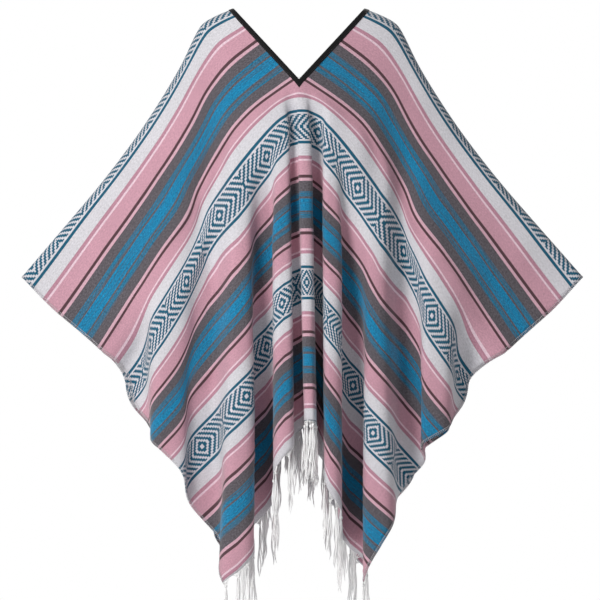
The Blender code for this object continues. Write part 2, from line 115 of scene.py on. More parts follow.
# Woven stripes, from the middle of a diamond band out to the middle of the main blue, in photo pixels
REPEAT = FIRST_BAND
STRIPES = (
    (0.0, "white"),
    (14.3, "teal"),
    (17.0, "white"),
    (29.1, "dusky pink"),
    (32.2, "pale pink"),
    (34.1, "pink"),
    (48.2, "dark line"),
    (51.3, "light pink"),
    (54.4, "grey"),
    (65.0, "thin blue"),
    (70.3, "grey"),
    (72.2, "blue"),
)
COLOURS = {
    "white": (205, 203, 209),
    "teal": (20, 86, 112),
    "dusky pink": (178, 130, 147),
    "pale pink": (221, 194, 206),
    "pink": (194, 147, 162),
    "dark line": (82, 58, 64),
    "light pink": (203, 162, 176),
    "grey": (90, 85, 91),
    "thin blue": (22, 112, 148),
    "blue": (14, 124, 168),
}

# Diamonds: eyes this far apart along the band, and round them rings this far apart, stepped as woven.
# Each ring's teal stroke starts at RING_START of that spacing and takes up RING_STROKE of it.
EYE_SPACING = 0.131
RING_SPACING = 0.0119
RING_START = 0.22
RING_STROKE = 0.56
WEAVE_STEP = 0.0017
MOTIF_HALF_HEIGHT = 0.0228

# Where an eye lies in each band, across the flat cloth: shoulder band, first band, second band. The
# eyes of one band lie a little closer together.
EYE_PLACES = {-1: (0.061, -0.018, 0.0), 1: (0.061, 0.053, 0.0)}
EYE_SPACINGS = {-1: (EYE_SPACING,) * 3, 1: (EYE_SPACING, EYE_SPACING, 0.122)}

# The hem is cut a little off the weft: this far short at the corners, and long in the middle
HEM_BIAS_MIDDLE = 0.008
HEM_BIAS_CORNER = -0.013

# Stations along the cloth where the tables below hold
STATIONS = (0.0, 0.090, SLIT_HALF_LENGTH, FIRST_BAND, SECOND_BAND, CLOTH_HALF_LENGTH)
FOLD_STATIONS = STATIONS[2:]

# Sine of the slope of a weft thread: a row for each station, a column for each distance from the middle
SLOPE_PLACES = (0.0, 0.045, 0.072, 0.107, 0.161, 0.251, 0.295, 0.358, 0.465, CLOTH_HALF_WIDTH)
SLOPE_SINES = (
    (0.33, 0.52, 0.88, 0.92, 0.88, 0.85, 0.83, 0.81, 0.78, 0.78),
    (0.60, 0.63, 0.70, 0.80, 0.90, 0.85, 0.84, 0.83, 0.81, 0.81),
    (0.55, 0.57, 0.60, 0.68, 0.83, 0.88, 0.95, 0.80, 0.84, 0.84),
    (0.00, 0.50, 0.78, 0.81, 0.80, 0.84, 0.94, 0.89, 0.84, 0.76),
    (0.00, 0.27, 0.38, 0.47, 0.56, 0.63, 0.65, 0.67, 0.68, 0.68),
    (0.00, 0.27, 0.37, 0.44, 0.50, 0.53, 0.54, 0.54, 0.54, 0.54),
)

# Under the slit the middle thread lies level, and the threads beside it level out over a short way
MIDDLE_LEVELS_OVER = 0.040
LEVEL_WIDTH_AT_SLIT = 0.001
LEVEL_WIDTH_BELOW = 0.030
LEVEL_WIDTH_GROWS_OVER = 0.100
LEVEL_WIDTH_STARTS_ABOVE = 0.010

# How far the middle of the cloth stands forward of its sides, by station
CENTRE_DEPTH = (0.0, 0.030, 0.065, 0.085, 0.115, 0.135)

# A soft trough runs down from the end of each shoulder: its place across, its width and its depth
SHOULDER_TROUGH = {-1: -0.163, 1: 0.184}
TROUGH_WIDTH = 0.030
TROUGH_DEPTH = (0.0, 0.004, 0.020, 0.024, 0.012, 0.0)

# Fold lines of each half panel, in millimetres, from the middle out. "start" is how far down the cloth
# the fold begins. "u" is the distance across the flat cloth at the slit's end, first band, second band
# and hem; "x" is where the line hangs, at the slit's end and at the hem. A u past the half width means
# that the line has run off the side edge.
MM = 0.001
FRONT_LEFT = (
    dict(kind="ridge", start=197, u=(0, 0, 0, 0), x=(4, 21)),
    dict(kind="valley", start=197, u=(14, 27, 63, 93), x=(-9, 2)),
    dict(kind="ridge", start=199, u=(34, 66, 125, 185), x=(-29, -25)),
    dict(kind="valley", start=202, u=(75, 118, 269, 385), x=(-61, -60)),
    dict(kind="ridge", start=206, u=(122, 193, 413, 575), x=(-106, -110)),
    dict(kind="valley", start=200, u=(229, 277, 510, 734), x=(-161, -168)),
    dict(kind="ridge", start=202, u=(400, 450, 666, 880), x=(-240, -240)),
    dict(kind="valley", start=197, u=(609, 609, 823, 1040), x=(-312, -246)),
)
FRONT_RIGHT = (
    dict(kind="ridge", start=197, u=(0, 0, 0, 0), x=(4, 21)),
    dict(kind="valley", start=199, u=(32, 50, 97, 158), x=(31, 38)),
    dict(kind="ridge", start=200, u=(63, 97, 195, 317), x=(55, 56)),
    dict(kind="valley", start=203, u=(107, 161, 358, 501), x=(91, 91)),
    dict(kind="ridge", start=207, u=(192, 251, 505, 662), x=(143, 147)),
    dict(kind="valley", start=200, u=(283, 318, 600, 800), x=(188, 202)),
    dict(kind="ridge", start=202, u=(408, 470, 770, 1000), x=(252, 245)),
    dict(kind="valley", start=197, u=(609, 609, 880, 1110), x=(310, 262)),
)
BACK_LEFT = (
    dict(kind="ridge", start=197, u=(0, 0, 0, 0), x=(-4, -14)),
    dict(kind="valley", start=198, u=(24, 38, 80, 126), x=(-24, -30)),
    dict(kind="ridge", start=200, u=(48, 80, 160, 255), x=(-46, -46)),
    dict(kind="valley", start=204, u=(95, 140, 310, 440), x=(-80, -78)),
    dict(kind="ridge", start=207, u=(160, 222, 455, 625), x=(-128, -126)),
    dict(kind="valley", start=201, u=(255, 300, 555, 780), x=(-174, -176)),
    dict(kind="ridge", start=202, u=(404, 460, 715, 940), x=(-246, -242)),
    dict(kind="valley", start=197, u=(609, 609, 850, 1075), x=(-320, -258)),
)
BACK_RIGHT = (
    dict(kind="ridge", start=197, u=(0, 0, 0, 0), x=(-4, -14)),
    dict(kind="valley", start=198, u=(20, 34, 72, 108), x=(14, 6)),
    dict(kind="ridge", start=200, u=(42, 72, 148, 220), x=(38, 33)),
    dict(kind="valley", start=203, u=(86, 128, 295, 412), x=(72, 70)),
    dict(kind="ridge", start=208, u=(150, 210, 440, 610), x=(120, 122)),
    dict(kind="valley", start=200, u=(245, 290, 540, 765), x=(170, 174)),
    dict(kind="ridge", start=202, u=(404, 460, 700, 920), x=(248, 246)),
    dict(kind="valley", start=197, u=(609, 609, 850, 1075), x=(312, 258)),
)

# Side edges: how far out they hang, by station from the fold to the first band
SIDE_STATIONS = (0.0, SLIT_HALF_LENGTH, FIRST_BAND)
SIDE_X = {
    ("front", -1): (-0.498, -0.353, -0.310),
    ("front", 1): (0.510, 0.371, 0.326),
    ("back", -1): (-0.498, -0.357, -0.318),
    ("back", 1): (0.510, 0.376, 0.334),
}
FOLD_LINES = {
    ("front", -1): FRONT_LEFT,
    ("front", 1): FRONT_RIGHT,
    ("back", -1): BACK_LEFT,
    ("back", 1): BACK_RIGHT,
}
BACK_HEM_RISE = 0.016
WAY_OUT = {"front": -1.0, "back": 1.0}


def smooth_table(at, stations, values):
    """A smooth curve through a table's values, level past both ends."""
    at = np.clip(np.asarray(at, float), stations[0], stations[-1])
    stations = np.asarray(stations, float)
    values = np.asarray(values, float)
    chord = np.diff(values) / np.diff(stations)
    slope = np.zeros(len(values))
    slope[0] = chord[0]
    slope[-1] = chord[-1]
    for i in range(1, len(values) - 1):
        same_way = chord[i - 1] * chord[i] > 0.0
        slope[i] = 2.0 * chord[i - 1] * chord[i] / (chord[i - 1] + chord[i]) if same_way else 0.0
    i = np.clip(np.searchsorted(stations, at, side="right") - 1, 0, len(stations) - 2)
    span = stations[i + 1] - stations[i]
    t = (at - stations[i]) / span
    return ((1 + 2 * t) * (1 - t) ** 2 * values[i] + t * (1 - t) ** 2 * span * slope[i]
            + t * t * (3 - 2 * t) * values[i + 1] + t * t * (t - 1) * span * slope[i + 1])


def ease(t):
    """A smooth step from 0 to 1."""
    t = np.clip(t, 0.0, 1.0)
    return t * t * (3.0 - 2.0 * t)


def running_sum(steps):
    """The sum of the steps so far, from nothing to all of them."""
    return np.concatenate(([0.0], np.cumsum(steps)))


def slope_sine(u, v):
    """Sine of the slope of the weft thread that lies v from the fold, u out from the middle."""
    sines = [smooth_table(v, STATIONS, column) for column in zip(*SLOPE_SINES)]
    below = v - SLIT_HALF_LENGTH
    if 0.0 <= below < FIRST_BAND - SLIT_HALF_LENGTH:
        sines[0] = sines[0] * (1.0 - ease(below / MIDDLE_LEVELS_OVER))
    sine = smooth_table(u, SLOPE_PLACES, sines)
    if below < 0.0:
        return sine
    grown = ease((below + LEVEL_WIDTH_STARTS_ABOVE) / LEVEL_WIDTH_GROWS_OVER)
    return sine * (1.0 - np.exp(-u / (LEVEL_WIDTH_AT_SLIT + LEVEL_WIDTH_BELOW * grown)))


def weft_profile(v):
    """Fall and run of a weft thread, summed from the middle out: distances, falls, runs."""
    u = np.arange(0.0, PROFILE_REACH, PROFILE_STEP)
    sine = slope_sine(u + PROFILE_STEP / 2, v)
    fall = running_sum(sine * PROFILE_STEP)[:-1]
    run = running_sum(np.sqrt(1 - sine ** 2) * PROFILE_STEP)[:-1]
    return u, fall, run


def middle_drop(v):
    """How far below the origin the slit's edge, or the middle thread under it, lies."""
    if v < SLIT_HALF_LENGTH:
        return NECK_DROP * v / SLIT_HALF_LENGTH
    return NECK_DROP + v - SLIT_HALF_LENGTH


def middle_x(v, face, side):
    """How far to the side the slit's edge, or the middle fold under it, lies."""
    if v < SLIT_HALF_LENGTH:
        return side * NECK_HALF_WIDTH * (1.0 - v / SLIT_HALF_LENGTH)
    first, last = FOLD_LINES[face, side][0]["x"]
    below = v - SLIT_HALF_LENGTH
    share = below / (CLOTH_HALF_LENGTH - SLIT_HALF_LENGTH)
    return MM * (first + (last - first) * share) * ease(below / MIDDLE_SWINGS_OVER)


def smooth_x(u, v, face, side):
    """Where the cloth would hang with no folds in it."""
    grid, _, run = weft_profile(v)
    edge = middle_x(v, face, side)
    outer = smooth_table(v, SIDE_STATIONS, SIDE_X[face, side])
    share = np.interp(u, grid, run) / np.interp(CLOTH_HALF_WIDTH, grid, run)
    return edge + (outer - edge) * share


def fold_radius(u):
    """How tightly the cloth rolls over the shoulder line, tighter towards the end of the arm."""
    narrowed = ease((u - FOLD_NARROWS_FROM) / FOLD_NARROWS_OVER)
    return FOLD_RADIUS + (FOLD_RADIUS_AT_ARM_END - FOLD_RADIUS) * narrowed


def front_depth(x, u, v):
    """How far in front of the shoulder line the crests of the folds lie."""
    radius = fold_radius(u)
    rolled = radius * np.sin(np.minimum(v / radius, math.pi / 2))
    taper = 1.0 / (1.0 + (np.abs(x) / CENTRE_DEPTH_SPREAD) ** 4)
    trough = sum(np.exp(-((x - at) / TROUGH_WIDTH) ** 2) for at in SHOULDER_TROUGH.values())
    standing = smooth_table(v, STATIONS, CENTRE_DEPTH) * taper
    return rolled + standing - smooth_table(v, STATIONS, TROUGH_DEPTH) * trough


def meander(ratio):
    """One half wave of cloth whose ends are ratio of its length apart: shares of x, of y, and depth."""
    t = np.linspace(0.0, 1.0, PLEAT_STEPS + 1)
    middle = (t[1:] + t[:-1]) / 2
    bend = np.sin(math.pi * middle) ** PLEAT_SQUARENESS
    low, high = STRAIGHTEST_PLEAT_ANGLE, TIGHTEST_PLEAT_ANGLE
    for _ in range(ANGLE_HALVINGS):
        angle = (low + high) / 2
        if np.mean(np.cos(angle * bend)) > ratio:
            low = angle
        else:
            high = angle
    turn = low * bend
    along = running_sum(np.cos(turn))
    across = running_sum(np.sin(turn))
    return t, along / along[-1], across / across[-1], float(np.mean(np.sin(turn)))


def fold_share(line, v):
    """How far a fold has formed, from 0 where it starts to 1 where it hangs free."""
    return float(ease((v - MM * line["start"]) / FOLDS_FORM_OVER))


def fold_line_x(line, u, v, face, side):
    """Where a fold line hangs: it leaves the smooth cloth at the slit's end and drops straight down."""
    if line["u"][3] == 0:
        return middle_x(v, face, side)
    first, last = line["x"]
    share = (v - SLIT_HALF_LENGTH) / (CLOTH_HALF_LENGTH - SLIT_HALF_LENGTH)
    hung = MM * (first + (last - first) * max(share, 0.0))
    hanging = fold_share(line, v)
    if hanging == 1.0:
        return hung
    free = float(smooth_x(min(u, CLOTH_HALF_WIDTH), v, face, side))
    return free + (hung - free) * hanging


def pleated_row(u_wanted, v, face, side):
    """Points of one weft thread below the slit, gathered between its fold lines."""
    grid, fall, run = weft_profile(v)
    lines = FOLD_LINES[face, side]
    line_u = [float(smooth_table(v, FOLD_STATIONS, np.array(line["u"]) * MM)) for line in lines]
    line_x = [fold_line_x(line, u, v, face, side) for line, u in zip(lines, line_u)]
    length = np.diff(np.interp(line_u, grid, run))
    chord = np.abs(np.diff(line_x))
    waves = [meander(min(c / l, STRAIGHTEST_PLEAT_RATIO)) for c, l in zip(chord, length)]
    natural = [l * wave[3] if c < l else 0.0 for c, l, wave in zip(chord, length, waves)]
    line_y = []
    for i, line in enumerate(lines):
        crest = float(front_depth(line_x[i], line_u[i], v))
        if line["kind"] == "ridge":
            line_y.append(crest)
            continue
        beside = natural[i - 1:i + 1]
        depth = fold_share(line, v) * sum(beside) / len(beside)
        line_y.append(crest - min(depth, crest - VALLEY_CLEARANCE))
    x = np.zeros(len(u_wanted))
    y = np.zeros(len(u_wanted))
    for i, wave in enumerate(waves):
        inside = (u_wanted >= line_u[i] - 1e-9) & (u_wanted <= line_u[i + 1] + 1e-9)
        start = np.interp(line_u[i], grid, run)
        t = (np.interp(u_wanted[inside], grid, run) - start) / length[i]
        x[inside] = line_x[i] + (line_x[i + 1] - line_x[i]) * np.interp(t, wave[0], wave[1])
        y[inside] = line_y[i] + (line_y[i + 1] - line_y[i]) * np.interp(t, wave[0], wave[2])
    return x, y, middle_drop(v) + np.interp(u_wanted, grid, fall)


def yoke_row(u_wanted, v, face, side):
    """Points of one weft thread beside the slit, where the cloth lies smooth over the shoulder."""
    x = np.zeros(len(u_wanted))
    drop = np.zeros(len(u_wanted))
    for i, u in enumerate(u_wanted):
        radius = float(fold_radius(u))
        quarter = radius * math.pi / 2
        if v < quarter:
            rolled = radius * (1.0 - math.cos(v / radius))
        else:
            rolled = v - (quarter - radius) * (SLIT_HALF_LENGTH - v) / (SLIT_HALF_LENGTH - quarter)
        grid, fall, _ = weft_profile(rolled)
        x[i] = smooth_x(u, rolled, face, side)
        drop[i] = middle_drop(rolled) + np.interp(u, grid, fall)
    return x, front_depth(x, u_wanted, v), drop


def drape_half(u_wanted, v, face, side):
    """Where one weft thread of a half panel hangs: an array of points, middle to side edge."""
    u_wanted = np.asarray(u_wanted, float)
    row = yoke_row if v < SLIT_HALF_LENGTH else pleated_row
    x, y, drop = row(u_wanted, v, face, side)
    if face == "back":
        share = (v - SLIT_HALF_LENGTH) / (CLOTH_HALF_LENGTH - SLIT_HALF_LENGTH)
        drop = drop - BACK_HEM_RISE * float(ease(share))
        y = -y
    return np.stack([x, -y, -drop], axis=1)


def place(u, v, face, side):
    """Where one place of the flat cloth hangs."""
    return drape_half([u], v, face, side)[0]


def unit(vectors):
    """The same vector or row of vectors, each one unit long."""
    return vectors / np.linalg.norm(vectors, axis=-1, keepdims=True)


def measured_along(line):
    """How far along a line each of its points lies."""
    return running_sum(np.linalg.norm(np.diff(line, axis=0), axis=1))


def points_at(at, measure, points):
    """The points, or other vectors, that lie at the places asked for along a measured line."""
    return np.stack([np.interp(at, measure, points[:, k]) for k in range(3)], axis=-1)


def linear(colour):
    """A colour given as 0 to 255 display values, as the linear values that a shader takes."""
    parts = [c / 255.0 for c in colour]
    return tuple(c / 12.92 if c <= 0.04045 else ((c + 0.055) / 1.055) ** 2.4 for c in parts) + (1.0,)


def stripe_start(name):
    """How far from the middle of a diamond band the first stripe of this name starts."""
    return next(start for start, stripe in STRIPES if stripe == name) * METRES_PER_PIXEL


# Materials. Noises are given in turns per metre, and those of the weave and the yarn are finer one way.
SHEEN_ROUGHNESS = 0.5
SPECULAR = 0.2
NOISE_DETAIL = 2.0
NOISE_ROUGHNESS = 0.6
STREAK_SCALES = (7.0, 520.0)
GRAIN_SCALES = (260.0, 520.0)
CLOUD_SCALE = 9.0
TWILL_SCALE = 900.0
FIBRE_SCALES = (1500.0, 1500.0, 130.0)

# The weave: how ragged the stripes' edges are, its thread pitch, and the shares of its relief
RAGGED_EDGE = 0.0012
THREAD_PITCH = 0.0021
THREAD_RELIEF = 0.35
GRAIN_RELIEF = 1.2
HEATHER_EDGE = 0.0004
HEATHER_BY_COLOUR = (0.16, 0.46)
BLUE_STREAK = (62, 84, 98)

# Ranges: a noise between the first two numbers gives an amount between the last two
STREAKS_IN_BLUE = (0.50, 0.68, 0.0, 0.75)
STREAKS_BESIDE_BLUE = (0.44, 0.62, 0.0, 0.70)
SPECKLE = (0.3, 0.7, -1.1, 1.0)
CLOUDS = (0.3, 0.7, 0.95, 1.04)


class Nodes:
    """Short calls for the nodes of one material."""

    def __init__(self, name, roughness, sheen=0.0):
        self.material = bpy.data.materials.new(name)
        self.material.use_nodes = True
        self.tree = self.material.node_tree
        self.shader = self.tree.nodes["Principled BSDF"]
        self.set(roughness, "Roughness")
        self.set(sheen, "Sheen Weight")
        self.set(SHEEN_ROUGHNESS, "Sheen Roughness")
        self.set(SPECULAR, "Specular IOR Level")

    def set(self, value, socket):
        self.shader.inputs[socket].default_value = value

    def add(self, kind, **settings):
        node = self.tree.nodes.new(kind)
        for key, value in settings.items():
            setattr(node, key, value)
        return node

    def feed(self, socket, value):
        if isinstance(value, bpy.types.NodeSocket):
            self.tree.links.new(value, socket)
        else:
            socket.default_value = value

    def math(self, operation, *values):
        node = self.add("ShaderNodeMath", operation=operation)
        for socket, value in zip(node.inputs, values):
            self.feed(socket, value)
        return node.outputs[0]

    def product(self, first, *others):
        for other in others:
            first = self.math("MULTIPLY", first, other)
        return first

    def mix(self, factor, first, second, blend="MIX"):
        node = self.add("ShaderNodeMix", data_type="RGBA", blend_type=blend)
        self.feed(node.inputs["Factor"], factor)
        self.feed(node.inputs["A"], first)
        self.feed(node.inputs["B"], second)
        return node.outputs["Result"]

    def scaled(self, colour, amount):
        return self.mix(1.0, colour, self.combine(amount, amount, amount), "MULTIPLY")

    def combine(self, x, y, z=0.0):
        node = self.add("ShaderNodeCombineXYZ")
        for socket, value in zip(node.inputs, (x, y, z)):
            self.feed(socket, value)
        return node.outputs[0]

    def split(self, vector):
        node = self.add("ShaderNodeSeparateXYZ")
        self.feed(node.inputs[0], vector)
        return tuple(node.outputs)

    def noise(self, vector, scale=1.0):
        node = self.add("ShaderNodeTexNoise")
        self.feed(node.inputs["Vector"], vector)
        node.inputs["Scale"].default_value = scale
        node.inputs["Detail"].default_value = NOISE_DETAIL
        node.inputs["Roughness"].default_value = NOISE_ROUGHNESS
        return node.outputs["Fac"]

    def drawn_out_noise(self, places, scales):
        return self.noise(self.combine(*(self.product(at, scale) for at, scale in zip(places, scales))))

    def between(self, value, low, high, to_low=0.0, to_high=1.0):
        node = self.add("ShaderNodeMapRange", clamp=True)
        for key, wanted in zip(("Value", "From Min", "From Max", "To Min", "To Max"),
                               (value, low, high, to_low, to_high)):
            self.feed(node.inputs[key], wanted)
        return node.outputs["Result"]

    def bump(self, height, strength, distance):
        node = self.add("ShaderNodeBump")
        self.feed(node.inputs["Height"], height)
        node.inputs["Strength"].default_value = strength
        node.inputs["Distance"].default_value = distance
        self.tree.links.new(node.outputs["Normal"], self.shader.inputs["Normal"])

    def colour(self, socket):
        self.tree.links.new(socket, self.shader.inputs["Base Color"])


def flat_place(make, layer):
    """How far across and along the flat cloth, as one UV layer has it."""
    return make.split(make.add("ShaderNodeUVMap", uv_map=layer).outputs["UV"])[:2]


def object_place(make):
    return make.add("ShaderNodeTexCoord").outputs["Object"]


def stripe_colours(make, offset):
    """Constant bands of colour by the distance from the middle of a diamond band."""
    ramp = make.add("ShaderNodeValToRGB")
    ramp.color_ramp.interpolation = "CONSTANT"
    half_repeat = REPEAT / 2 / METRES_PER_PIXEL
    stops = ramp.color_ramp.elements
    while len(stops) > 1:
        stops.remove(stops[-1])
    for i, (start, name) in enumerate(STRIPES):
        stop = stops[0] if i == 0 else stops.new(start / half_repeat)
        stop.position = start / half_repeat
        stop.color = linear(COLOURS[name])
    make.feed(ramp.inputs["Fac"], make.math("DIVIDE", offset, REPEAT / 2))
    return ramp.outputs["Color"]


def diamond_mask(make, offset, along):
    """1 on the teal strokes of the concentric stepped diamonds, 0 elsewhere."""
    across = make.math("SNAP", offset, 2.0 * WEAVE_STEP)
    from_eye = make.math("SNAP", make.math("PINGPONG", along, EYE_SPACING / 2), WEAVE_STEP)
    rings = make.math("DIVIDE", make.math("ADD", across, from_eye), RING_SPACING)
    phase = make.math("FRACT", make.math("ADD", rings, 1.0 - RING_START))
    stroke = make.math("LESS_THAN", phase, RING_STROKE)
    return make.product(stroke, make.math("LESS_THAN", offset, MOTIF_HALF_HEIGHT))


def woven_material():
    """Plain weave in stripes, heathered in the greys and streaky at the blue edges."""
    make = Nodes("woven_stripes", 0.86, sheen=0.25)
    across, along = flat_place(make, "flat")
    motif_across, _ = flat_place(make, "motif")
    streaks = make.drawn_out_noise((across, along), STREAK_SCALES)
    offset = make.math("PINGPONG", make.math("ABSOLUTE", along), REPEAT / 2)
    ragged = make.product(make.math("SUBTRACT", streaks, 0.5), RAGGED_EDGE)
    stripes = stripe_colours(make, make.math("ADD", offset, ragged))
    patterned = make.mix(diamond_mask(make, offset, motif_across), stripes, linear(COLOURS["teal"]))

    # Grey yarn shows through the blue in streaks, most of all in the thin blue lines
    in_blue = make.math("GREATER_THAN", offset, stripe_start("thin blue"))
    to_grey = make.product(in_blue, make.between(streaks, *STREAKS_IN_BLUE))
    patterned = make.mix(to_grey, patterned, linear(BLUE_STREAK))
    beside_blue = make.math("LESS_THAN", offset, stripe_start("blue"))
    broken = make.product(in_blue, beside_blue, make.between(streaks, *STREAKS_BESIDE_BLUE))
    patterned = make.mix(broken, patterned, linear(COLOURS["grey"]))

    # Heather of the greys, the speckle of single threads and a slow change of shade everywhere
    grain = make.drawn_out_noise((across, along), GRAIN_SCALES)
    grey_start = stripe_start("grey")
    heather = make.between(offset, grey_start, grey_start + HEATHER_EDGE, *HEATHER_BY_COLOUR)
    speckle = make.math("ADD", 1.0, make.product(heather, make.between(grain, *SPECKLE)))
    clouds = make.noise(make.combine(across, along), CLOUD_SCALE)
    make.colour(make.scaled(make.scaled(patterned, speckle), make.between(clouds, *CLOUDS)))

    turns = 2.0 * math.pi / THREAD_PITCH
    weft = make.math("SINE", make.product(along, turns))
    warp = make.math("SINE", make.product(across, turns))
    relief = make.math("ADD", make.product(weft, warp, THREAD_RELIEF), make.product(grain, GRAIN_RELIEF))
    make.bump(relief, 0.45, 0.0006)
    return make.material


def tape_material():
    """Matt black twill tape."""
    make = Nodes("black_twill", 0.8, sheen=0.1)
    fine = make.noise(object_place(make), TWILL_SCALE)
    make.colour(make.mix(make.between(fine, 0.35, 0.7), linear((7, 7, 8)), linear((19, 19, 21))))
    make.bump(fine, 0.4, 0.0004)
    return make.material


def yarn_material(name, dark, light):
    """Loose soft yarn, lighter on its fibres than between them."""
    make = Nodes(name, 0.9, sheen=0.4)
    make.set(0.6, "Subsurface Weight")
    make.set((1.0, 1.0, 1.0), "Subsurface Radius")
    make.set(0.003, "Subsurface Scale")
    fibres = make.drawn_out_noise(make.split(object_place(make)), FIBRE_SCALES)
    make.colour(make.mix(make.between(fibres, 0.35, 0.65), linear(dark), linear(light)))
    make.bump(fibres, 0.6, 0.0008)
    return make.material


def column_places():
    """Distances across the flat cloth, closer together towards the middle, where the folds are narrow."""
    t = np.linspace(0.0, 1.0, COLUMNS + 1)
    return CLOTH_HALF_WIDTH * (COLUMN_EVENNESS * t + (1.0 - COLUMN_EVENNESS) * t * t)


def row_places():
    """Distances along the flat cloth from the shoulder fold: the slit's end is one of them."""
    fold = FOLD_ROWS_REACH * np.linspace(0.0, 1.0, FOLD_ROWS) ** FOLD_ROWS_CROWDING
    yoke = np.linspace(FOLD_ROWS_REACH, SLIT_HALF_LENGTH, YOKE_ROWS + 1)[1:]
    panel = np.linspace(SLIT_HALF_LENGTH, CLOTH_HALF_LENGTH, PANEL_ROWS + 1)[1:]
    return np.concatenate((fold, yoke, panel))


# Creases fade out this near to the bound slit, to the middle thread under it and to the shoulder fold,
# and towards both their ends. A low ripple runs over the whole cloth: its waves across and along it.
CLEAR_OF_TAPE = 0.030
CLEAR_OF_MIDDLE = 0.012
CLEAR_OF_SHOULDER = 0.030
GROWS_FROM_SHOULDER_OVER = 0.050
END_FADES = 3.0
RIPPLE_DEPTH = 0.0007
RIPPLE_WAVES = ((61.0, 23.0), (-19.0, 37.0))

# Soft creases, listed: panel, side, one end and the other on the flat cloth (across, along), width
# and depth, in millimetres. A depth below nothing is a ridge.
CREASES = (
    dict(face="front", side=-1, start=(16, 200), end=(24, 275), width=11, depth=2.6),
    dict(face="front", side=1, start=(17, 200), end=(26, 275), width=9, depth=2.2),
    dict(face="front", side=-1, start=(30, 95), end=(150, 205), width=16, depth=1.6),
    dict(face="front", side=-1, start=(120, 60), end=(230, 190), width=22, depth=-2.0),
    dict(face="front", side=-1, start=(250, 120), end=(330, 420), width=24, depth=2.2),
    dict(face="front", side=-1, start=(330, 150), end=(470, 520), width=30, depth=-2.4),
    dict(face="front", side=-1, start=(420, 110), end=(560, 330), width=20, depth=1.8),
    dict(face="front", side=-1, start=(450, 480), end=(590, 740), width=22, depth=1.8),
    dict(face="front", side=-1, start=(350, 560), end=(500, 790), width=18, depth=-1.5),
    dict(face="front", side=1, start=(40, 110), end=(130, 190), width=15, depth=1.5),
    dict(face="front", side=1, start=(110, 50), end=(240, 170), width=20, depth=-1.8),
    dict(face="front", side=1, start=(260, 150), end=(380, 460), width=26, depth=2.4),
    dict(face="front", side=1, start=(350, 120), end=(520, 430), width=28, depth=-2.2),
    dict(face="front", side=1, start=(470, 90), end=(590, 260), width=18, depth=1.6),
    dict(face="front", side=1, start=(480, 520), end=(600, 760), width=20, depth=1.7),
    dict(face="front", side=1, start=(380, 600), end=(520, 800), width=20, depth=-1.4),
    dict(face="back", side=-1, start=(17, 200), end=(26, 275), width=10, depth=2.2),
    dict(face="back", side=1, start=(16, 200), end=(24, 275), width=9, depth=2.4),
    dict(face="back", side=-1, start=(40, 90), end=(170, 210), width=18, depth=1.7),
    dict(face="back", side=-1, start=(240, 130), end=(350, 450), width=26, depth=2.3),
    dict(face="back", side=-1, start=(400, 120), end=(550, 380), width=24, depth=-2.0),
    dict(face="back", side=-1, start=(430, 500), end=(580, 760), width=22, depth=1.6),
    dict(face="back", side=1, start=(30, 100), end=(150, 220), width=16, depth=1.5),
    dict(face="back", side=1, start=(270, 110), end=(390, 430), width=24, depth=2.2),
    dict(face="back", side=1, start=(380, 140), end=(540, 400), width=26, depth=-2.1),
    dict(face="back", side=1, start=(460, 540), end=(590, 770), width=20, depth=1.8),
)


def crease_depth(columns, rows, face, side):
    """How far the creases of one half panel push each point in, on the grid of rows and columns."""
    across, along = np.meshgrid(columns, rows)
    (wide, down), (wide_too, down_too) = RIPPLE_WAVES
    depth = (RIPPLE_DEPTH * np.sin(across * wide + along * down + side)
             * np.sin(along * down_too + across * wide_too))
    for crease in CREASES:
        if crease["face"] != face or crease["side"] != side:
            continue
        start = np.array(crease["start"]) * MM
        way = np.array(crease["end"]) * MM - start
        length = np.linalg.norm(way)
        share = ((across - start[0]) * way[0] + (along - start[1]) * way[1]) / length ** 2
        off = ((across - start[0]) * way[1] - (along - start[1]) * way[0]) / length
        fade = ease(share * END_FADES) * ease((1.0 - share) * END_FADES)
        depth += crease["depth"] * MM * fade * np.exp(-(off / (crease["width"] * MM)) ** 2)
    beside_middle = np.where(rows > SLIT_HALF_LENGTH + MITRE_REACH, CLEAR_OF_MIDDLE, CLEAR_OF_TAPE)
    clear = ease(columns[None, :] / beside_middle[:, None])
    return depth * clear * ease((rows - CLEAR_OF_SHOULDER) / GROWS_FROM_SHOULDER_OVER)[:, None]


def panel_points(columns, rows, face, side):
    """Where every point of a half panel hangs, creases and all."""
    points = np.array([drape_half(columns, v, face, side) for v in rows])
    normal = unit(np.cross(np.gradient(points, axis=0), np.gradient(points, axis=1)))
    normal *= np.where(normal[:, :, 1:2] * WAY_OUT[face] < 0.0, -1.0, 1.0)
    return points - normal * crease_depth(columns, rows, face, side)[:, :, None]


def stripe_place(across, along):
    """The stripe coordinate of a flat place, with the hem's cut a little off the weft."""
    share = across / CLOTH_HALF_WIDTH
    bias = HEM_BIAS_MIDDLE + (HEM_BIAS_CORNER - HEM_BIAS_MIDDLE) * share ** 2
    return along + bias * (along / CLOTH_HALF_LENGTH) ** 3


def mesh_of(name, bm):
    mesh = bpy.data.meshes.new(name)
    bm.to_mesh(mesh)
    bm.free()
    return mesh


def new_piece(mesh, finish):
    """The object of a finished mesh, under the mesh's name, smooth and in its material."""
    mesh.materials.append(finish)
    mesh.shade_smooth()
    piece = bpy.data.objects.new(mesh.name, mesh)
    bpy.context.scene.collection.objects.link(piece)
    return piece


